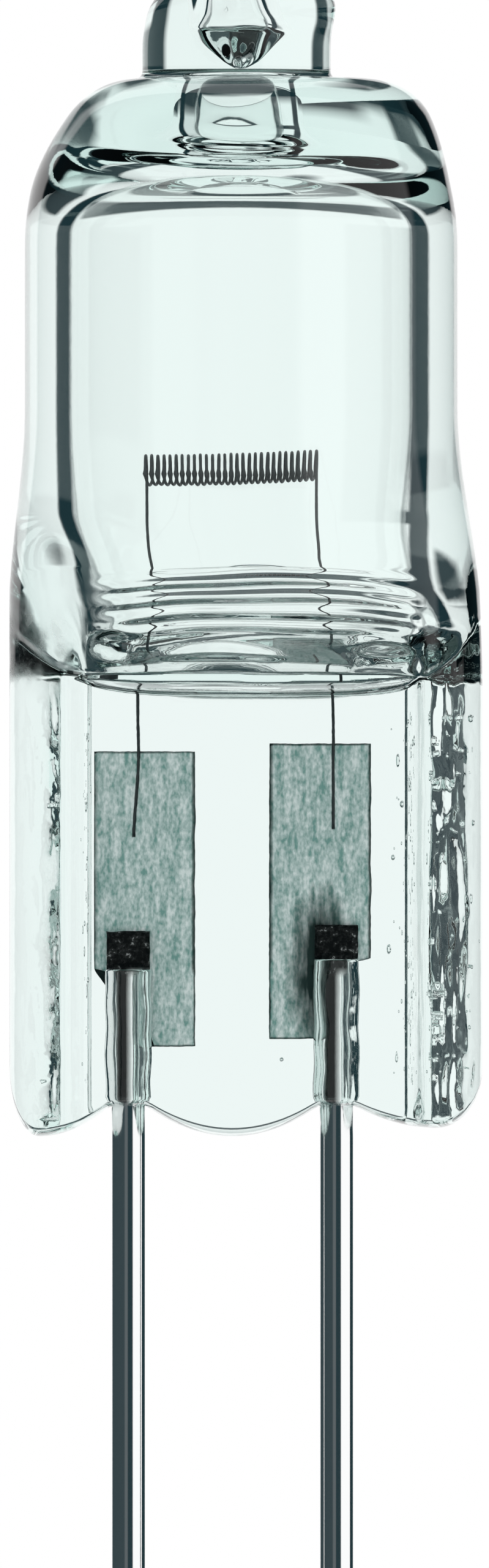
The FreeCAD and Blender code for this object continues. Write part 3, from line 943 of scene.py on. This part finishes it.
def makePin(side):
    x = sides[side] * pinOffset
    weld, bevel = pin["weld"][side], pin["endBevel"]
    top = weld + pin["weldLap"]
    stations = [(0, pinReach), (pinRadius - bevel, pinReach), (pinRadius, pinReach + bevel)]
    stations += [(pinRadius, z) for z in steps(pinReach + bevel, 0, 40)[1:]]
    for z in steps(0, top, 30)[1:]:
        uneven = 1 + pin["rootUnevenness"] * wobble(z * 2, x, 4)
        stations.append((mix(pinRadius, pin["rootRadius"], z / weld) * uneven, z))
    stations.append((0, top))
    shank = ringSkin(pin["columns"], [roundRing(r, z, x) for r, z in stations[::-1]])
    pad = bmesh.new()
    bmesh.ops.create_cube(pad, size=1)
    bmesh.ops.subdivide_edges(pad, edges=pad.edges, cuts=pin["weldCuts"], use_grid_fill=True)
    for vert in pad.verts:
        across, deep, up = vert.co
        rough = pin["weldRoughness"] * wobble(across * 4 + x, deep * 4, up * 4)
        vert.co = Vector((x + across * pin["weldWidth"] * (1 + rough),
                          pinRadius - pin["weldDepth"] + deep * pin["weldThickness"],
                          mix(weld, pin["weldTop"][side], up + 0.5) + rough))
    bmesh.ops.recalc_face_normals(pad, faces=pad.faces)
    makePiece("lead_pin_" + side, joined([shank, pad]), pinMetal, "pin_" + side)


for side in sides:
    makePin(side)
print("pins made")


photo = {
    "width": 799,            # in pixels, as the next three are
    "height": 2560,
    "pinsMiddle": 379.6,     # the column midway between the pins
    "glassFoot": 1855,       # the row of the glass's lowest edge
    "pixelsPerMm": 85,
}

studio = {
    "floorLevel": pinReach - 3.5,
    "floorRadius": 8.0,
    "cameraDistance": 450.0,
    "sensor": 36.0,
    "clip": (0.05, 5),       # in metres
}

# What glass and metal see round the bulb, each a row of (place, level). A bearing is in degrees
# from the camera's side, more to the right. A rise is the sine of the angle above eye level.
surround = {
    "plainLevel": 0.95,
    "gap": "#1c3238",
    "byBearing": {
        "beyond": [(-180, 1), (-154, 1), (-148, 0), (148, 0), (154, 1), (180, 1)],
        "eyeLevelGap": [(-180, 1), (66, 1), (70, 0), (130, 0), (134, 1), (180, 1)],
        "glass": [(-180, 1), (-142, 1), (-139, 0), (-126, 0), (-122, 0.8), (30, 0.8), (34, 1),
                  (122, 1), (126, 0), (142, 0), (146, 1), (180, 1)],
        "metal": [(-180, 1), (-142, 1), (-139, 0), (-122, 0.02), (-28, 0.02), (-20, 0.09), (-7, 0.09),
                  (0, 0), (29, 0), (34, 1), (104, 1), (108, 0), (156, 0), (160, 1)],
    },
    "byRise": {
        "far": [(-1, 0.01), (-0.42, 0.03), (-0.35, 1), (0.26, 1), (0.3, 0.04), (0.54, 0.04), (0.58, 1),
                (1, 1)],
        "aside": [(-1, 0.03), (-0.5, 0.03), (-0.4, 1), (1, 1)],
        "eyeLevel": [(-1, 0), (-0.13, 0), (-0.09, 1), (0.07, 1), (0.11, 0), (1, 0)],
    },
}


def makeFloor():
    # a plain pale floor, which keeps the bulb's soft shadow
    bm = bmesh.new()
    bmesh.ops.create_circle(bm, cap_ends=True, segments=96, radius=studio["floorRadius"] * mm)
    mesh = bpy.data.meshes.new("floor")
    bm.to_mesh(mesh)
    bm.free()
    mesh.materials.append(newMaterial("matt pale floor", {
        "Base Color": linear("#fafafa"),
        "Roughness": 1.0,
        "Specular IOR Level": 0.0,
    })[0])
    floor = bpy.data.objects.new("floor", mesh)
    floor.location.z = studio["floorLevel"] * mm
    bpy.context.scene.collection.objects.link(floor)


def makeWorld():
    # plain white to the camera and plain light on the object; metal and glass see the same white
    # background with darker upright gaps between the light panels beside it
    world = bpy.data.worlds.new("studio")
    bpy.context.scene.world = world
    world.use_nodes = True
    tree = world.node_tree
    tree.nodes.clear()
    place = addNode(tree, "ShaderNodeTexCoord")
    parts = addNode(tree, "ShaderNodeSeparateXYZ", feeds={0: place.outputs["Generated"]})
    backward = addNode(tree, "ShaderNodeMath", settings={"operation": "MULTIPLY"}, inputs={1: -1.0},
                       feeds={0: parts.outputs["Y"]})
    bearing = addNode(tree, "ShaderNodeMath", settings={"operation": "ARCTAN2"},
                      feeds={0: parts.outputs["X"], 1: backward.outputs[0]})
    turned = addNode(tree, "ShaderNodeMapRange", inputs=span((-math.pi, math.pi)),
                     feeds={"Value": bearing.outputs[0]})
    raised = addNode(tree, "ShaderNodeMapRange", inputs=span((-1.0, 1.0)),
                     feeds={"Value": parts.outputs["Z"]})
    levels = {}
    for group, source, reach in (("byBearing", turned, 180), ("byRise", raised, 1)):
        for name, row in surround[group].items():
            ramp = addNode(tree, "ShaderNodeValToRGB", feeds={"Fac": source.outputs["Result"]},
                           stops=[((spot / reach + 1) / 2, level) for spot, level in row])
            levels[name] = ramp.outputs["Color"]

    # beyond the bulb it is dark high up and low down; to either side it is dark low down only
    heights = addNode(tree, "ShaderNodeMix", settings={"data_type": "RGBA"},
                      feeds={0: levels["beyond"], 6: levels["aside"], 7: levels["far"]})
    # glass sees one more gap, on the right and at eye level only
    low = addNode(tree, "ShaderNodeMix", settings={"data_type": "RGBA"}, inputs={6: (1, 1, 1, 1)},
                  feeds={0: levels["eyeLevel"], 7: levels["eyeLevelGap"]})
    dimmed = addNode(tree, "ShaderNodeMath", settings={"operation": "MULTIPLY"},
                     feeds={0: low.outputs[2], 1: heights.outputs[2]})

    seen = {}
    for name, above in (("glass", dimmed.outputs[0]), ("metal", heights.outputs[2])):
        lit = addNode(tree, "ShaderNodeMath", settings={"operation": "MULTIPLY"},
                      feeds={0: levels[name], 1: above})
        shade = addNode(tree, "ShaderNodeMix", settings={"data_type": "RGBA"},
                        inputs={6: linear(surround["gap"]), 7: (1, 1, 1, 1)}, feeds={0: lit.outputs[0]})
        seen[name] = addNode(tree, "ShaderNodeBackground", feeds={"Color": shade.outputs[2]})
    plain = addNode(tree, "ShaderNodeBackground",
                    inputs={"Color": (1, 1, 1, 1), "Strength": surround["plainLevel"]})
    white = addNode(tree, "ShaderNodeBackground", inputs={"Color": (1, 1, 1, 1), "Strength": 1.0})

    path = addNode(tree, "ShaderNodeLightPath")
    result = plain
    for ray, background in (("Is Glossy Ray", seen["metal"]), ("Is Transmission Ray", seen["glass"]),
                            ("Diffuse Depth", plain), ("Is Camera Ray", white)):
        result = addNode(tree, "ShaderNodeMixShader",
                         feeds={0: path.outputs[ray], 1: result.outputs[0], 2: background.outputs[0]})
    addNode(tree, "ShaderNodeOutputWorld", feeds={"Surface": result.outputs[0]})


def makeCamera():
    data = bpy.data.cameras.new("camera")
    data.sensor_width = studio["sensor"]
    data.lens = studio["sensor"] * studio["cameraDistance"] * photo["pixelsPerMm"] / photo["height"]
    data.clip_start, data.clip_end = studio["clip"]
    camera = bpy.data.objects.new("camera", data)
    x = (photo["width"] / 2 - photo["pinsMiddle"]) / photo["pixelsPerMm"]
    z = (photo["glassFoot"] - photo["height"] / 2) / photo["pixelsPerMm"]
    camera.location = Vector((x, -studio["cameraDistance"], z)) * mm
    camera.rotation_euler = (math.pi / 2, 0, 0)
    bpy.context.scene.collection.objects.link(camera)
    bpy.context.scene.camera = camera


makeFloor()
makeWorld()
makeCamera()
bpy.context.scene.view_settings.view_transform = "Standard"
print("studio made")
